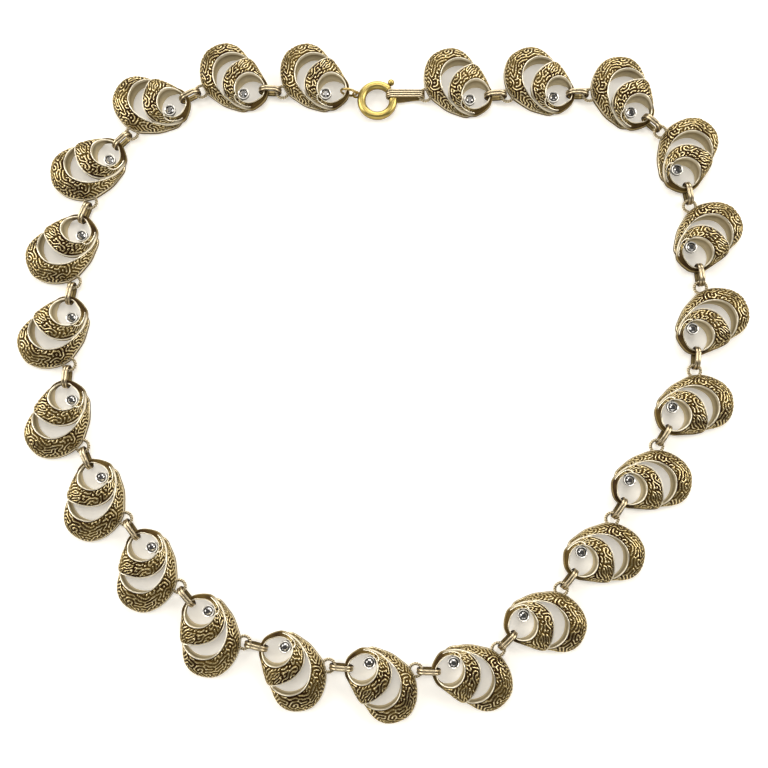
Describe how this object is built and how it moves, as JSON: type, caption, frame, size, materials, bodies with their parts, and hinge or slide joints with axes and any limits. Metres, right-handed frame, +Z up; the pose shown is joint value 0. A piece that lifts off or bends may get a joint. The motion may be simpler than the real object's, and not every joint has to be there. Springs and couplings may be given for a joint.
{
  "type": "marcasite necklace",
  "caption": "Short necklace of hollow cast shell links with a raised scroll finish and small round marcasites, joined by folded connectors and closed by a spring ring clasp.",
  "frame": {"origin": "middle of the whole necklace's outline, on the table that it lies on", "axes": "+Z up from the table, +X across the widest part of the loop, +Y towards the clasp at the back of the neck"},
  "size_m": [0.1464, 0.1362, 0.0049],
  "materials": {
    "antique_gilt": "cast relief, gilt on the raised lines and dark brown in the recesses",
    "marcasite": "faceted and polished, dark metallic grey",
    "connector_gilt": "ribbed strip, worn pale gilt with brown grooves",
    "clasp_gilt": "polished yellow gilt",
    "tag_gilt": "ribbed strip, gilt worn to grey green"
  },
  "bodies": {
    "necklace": {"link_01": "antique_gilt", "link_02": "antique_gilt", "link_03": "antique_gilt", "link_04": "antique_gilt", "link_05": "antique_gilt", "link_06": "antique_gilt", "link_07": "antique_gilt", "link_08": "antique_gilt", "link_09": "antique_gilt", "link_10": "antique_gilt", "link_11": "antique_gilt", "link_12": "antique_gilt", "link_13": "antique_gilt", "link_14": "antique_gilt", "link_15": "antique_gilt", "link_16": "antique_gilt", "link_17": "antique_gilt", "link_18": "antique_gilt", "link_19": "antique_gilt", "link_20": "antique_gilt", "link_21": "antique_gilt", "link_22": "antique_gilt", "link_23": "antique_gilt", "marcasites": "marcasite", "connectors": "connector_gilt", "jump_ring": "connector_gilt", "clasp_ring": "clasp_gilt", "end_tag": "tag_gilt"},
    "clasp_bolt": {"clasp_bolt": "clasp_gilt"}
  },
  "joints": [
    {"name": "clasp_trigger", "type": "hinge", "parent": "necklace", "child": "clasp_bolt", "pos_m": [-0.00133, 0.05589, 0.00128], "axis": [0, 0, 1], "range_deg": [0, 40], "stiffness_Nm_per_rad": 0.001, "springref_deg": -17.19}
  ]
}
